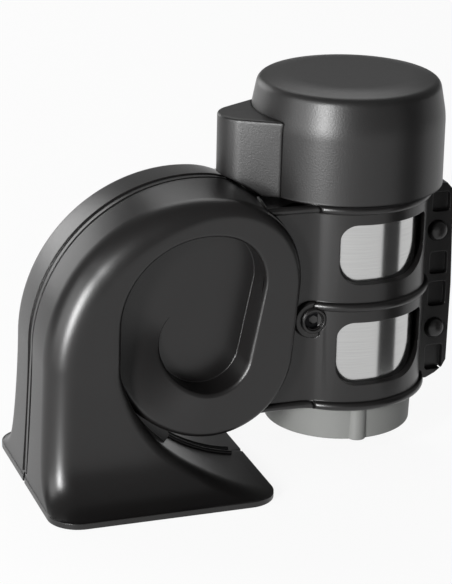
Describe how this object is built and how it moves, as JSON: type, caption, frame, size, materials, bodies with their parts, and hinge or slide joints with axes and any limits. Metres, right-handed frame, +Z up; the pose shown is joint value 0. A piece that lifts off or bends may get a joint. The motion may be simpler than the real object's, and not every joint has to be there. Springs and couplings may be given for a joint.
{
  "type": "car air horn",
  "caption": "Compact car air horn: spiral twin trumpet with a wide mouth, moulded in one with the collar that holds its electric vane air pump",
  "frame": {"origin": "centre of the fixing thread's mouth at the back of the trumpet housing", "axes": "+Z up along the motor's axis, +Y backwards out of the fixing thread towards the vehicle, +X to the right seen from the front, from the trumpet towards the joint flange"},
  "size_m": [0.1309, 0.0692, 0.1152],
  "materials": {
    "black_housing": "satin moulded black plastic with a fine texture",
    "black_cap": "satin moulded black plastic, slightly coarser",
    "grey_plastic": "matte moulded grey plastic",
    "divider_plastic": "moulded black plastic",
    "can_steel": "bright drawn steel",
    "screw_steel": "zinc plated steel",
    "diaphragm_steel": "thin rolled spring steel",
    "insert_brass": "turned brass",
    "terminal_brass": "tinned brass strip",
    "seal_rubber": "soft black rubber",
    "pump_alloy": "machined alloy",
    "pump_carbon": "carbon",
    "filter_felt": "pressed felt",
    "bush_bronze": "sintered bronze",
    "magnet_ferrite": "sintered ferrite",
    "core_steel": "stacked electrical steel",
    "winding_copper": "enamelled copper wire",
    "commutator_copper": "turned copper",
    "board_laminate": "brown insulating laminate",
    "spring_steel": "spring steel strip"
  },
  "bodies": {
    "horn": {"front_housing": "black_housing", "rear_housing": "black_housing", "divider_plate": "divider_plastic", "driver_body": "divider_plastic", "front_diaphragm": "diaphragm_steel", "rear_diaphragm": "diaphragm_steel", "front_clamp_ring": "screw_steel", "rear_clamp_ring": "screw_steel", "flange_screws": "screw_steel", "clamp_screw": "screw_steel", "fixing_insert": "insert_brass", "compressor_cap": "black_cap", "cap_seal": "seal_rubber", "inlet_seal": "seal_rubber", "pump_base": "pump_alloy", "pump_ring": "pump_alloy", "pump_cover": "pump_alloy", "pump_screws": "screw_steel", "intake_filter": "filter_felt", "motor_can": "can_steel", "upper_bush": "bush_bronze", "lower_bush": "bush_bronze", "magnet_left": "magnet_ferrite", "magnet_right": "magnet_ferrite", "end_cap": "grey_plastic", "brush_plate": "board_laminate", "brush_left": "pump_carbon", "brush_right": "pump_carbon", "brush_spring_left": "spring_steel", "brush_spring_right": "spring_steel", "terminal_plus": "terminal_brass", "terminal_minus": "terminal_brass"},
    "armature": {"shaft": "screw_steel", "laminations": "core_steel", "windings": "winding_copper", "commutator": "commutator_copper", "pump_rotor": "pump_alloy", "vane_1": "pump_carbon", "vane_2": "pump_carbon", "vane_3": "pump_carbon", "vane_4": "pump_carbon"}
  },
  "joints": [
    {"name": "armature_spin", "type": "hinge", "parent": "horn", "child": "armature", "pos_m": [0.024, -0.028, -0.002], "axis": [0, 0, 1], "continuous": true}
  ]
}
